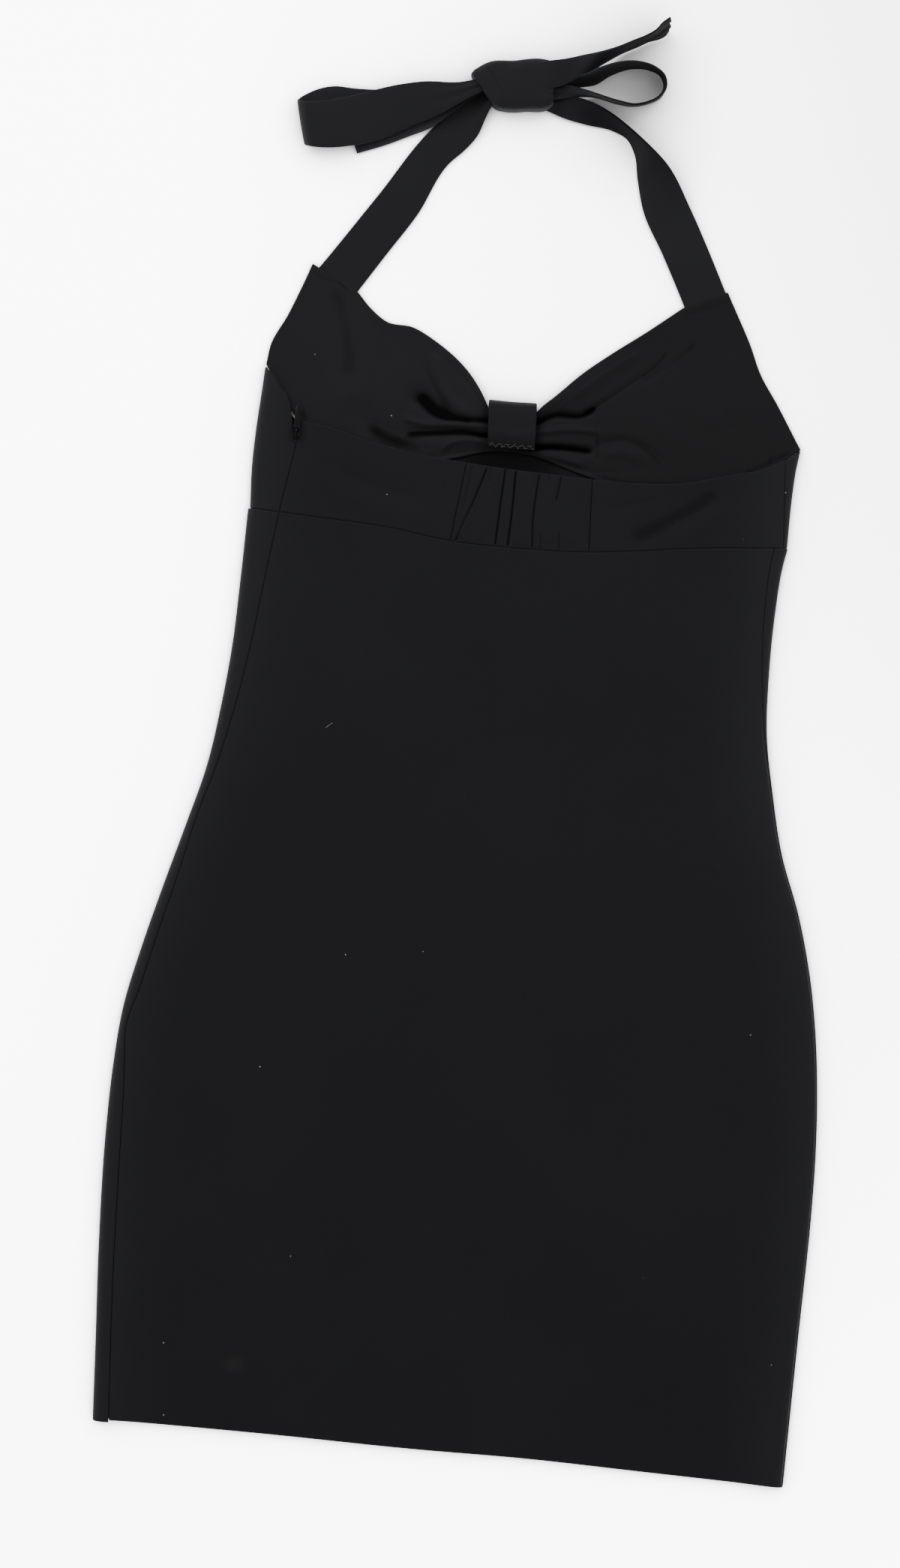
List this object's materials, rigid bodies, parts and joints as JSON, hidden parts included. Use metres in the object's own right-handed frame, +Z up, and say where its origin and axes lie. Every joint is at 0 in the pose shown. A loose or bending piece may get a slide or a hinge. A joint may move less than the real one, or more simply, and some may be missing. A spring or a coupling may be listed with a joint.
{
  "type": "bodycon dress",
  "caption": "Black halter bodycon mini dress laid flat, back up, with gathered cups, an under-bust band, a side zip and ties knotted in a bow.",
  "frame": {"origin": "middle of the footprint, on the surface that the dress lies on", "axes": "+Y from the hem to the neck, +X to the right as seen from above with the back up, +Z up"},
  "size_m": [0.4635, 0.9436, 0.0287],
  "materials": {
    "black_crepe": "matt stretch crepe",
    "zip_tape": "woven tape",
    "black_metal": "black lacquer"
  },
  "bodies": {
    "dress": {"front_skirt": "black_crepe", "back_skirt": "black_crepe", "front_band": "black_crepe", "back_band_left": "black_crepe", "back_band_centre": "black_crepe", "back_band_right": "black_crepe", "cup_left": "black_crepe", "cup_right": "black_crepe", "centre_tab": "black_crepe", "strap_left": "black_crepe", "strap_right": "black_crepe", "bow_knot": "black_crepe", "bow_loop_left": "black_crepe", "bow_loop_right": "black_crepe", "bow_tail_left": "black_crepe", "bow_tail_right": "black_crepe", "zip_tape": "zip_tape", "zip_slider": "black_metal"},
    "pull": {"zip_pull": "black_metal"}
  },
  "joints": [
    {"name": "pull_swing", "type": "hinge", "parent": "dress", "child": "pull", "pos_m": [-0.1429, 0.1888, 0.0086], "axis": [1, 0, 0], "range_deg": [0, 175]}
  ]
}
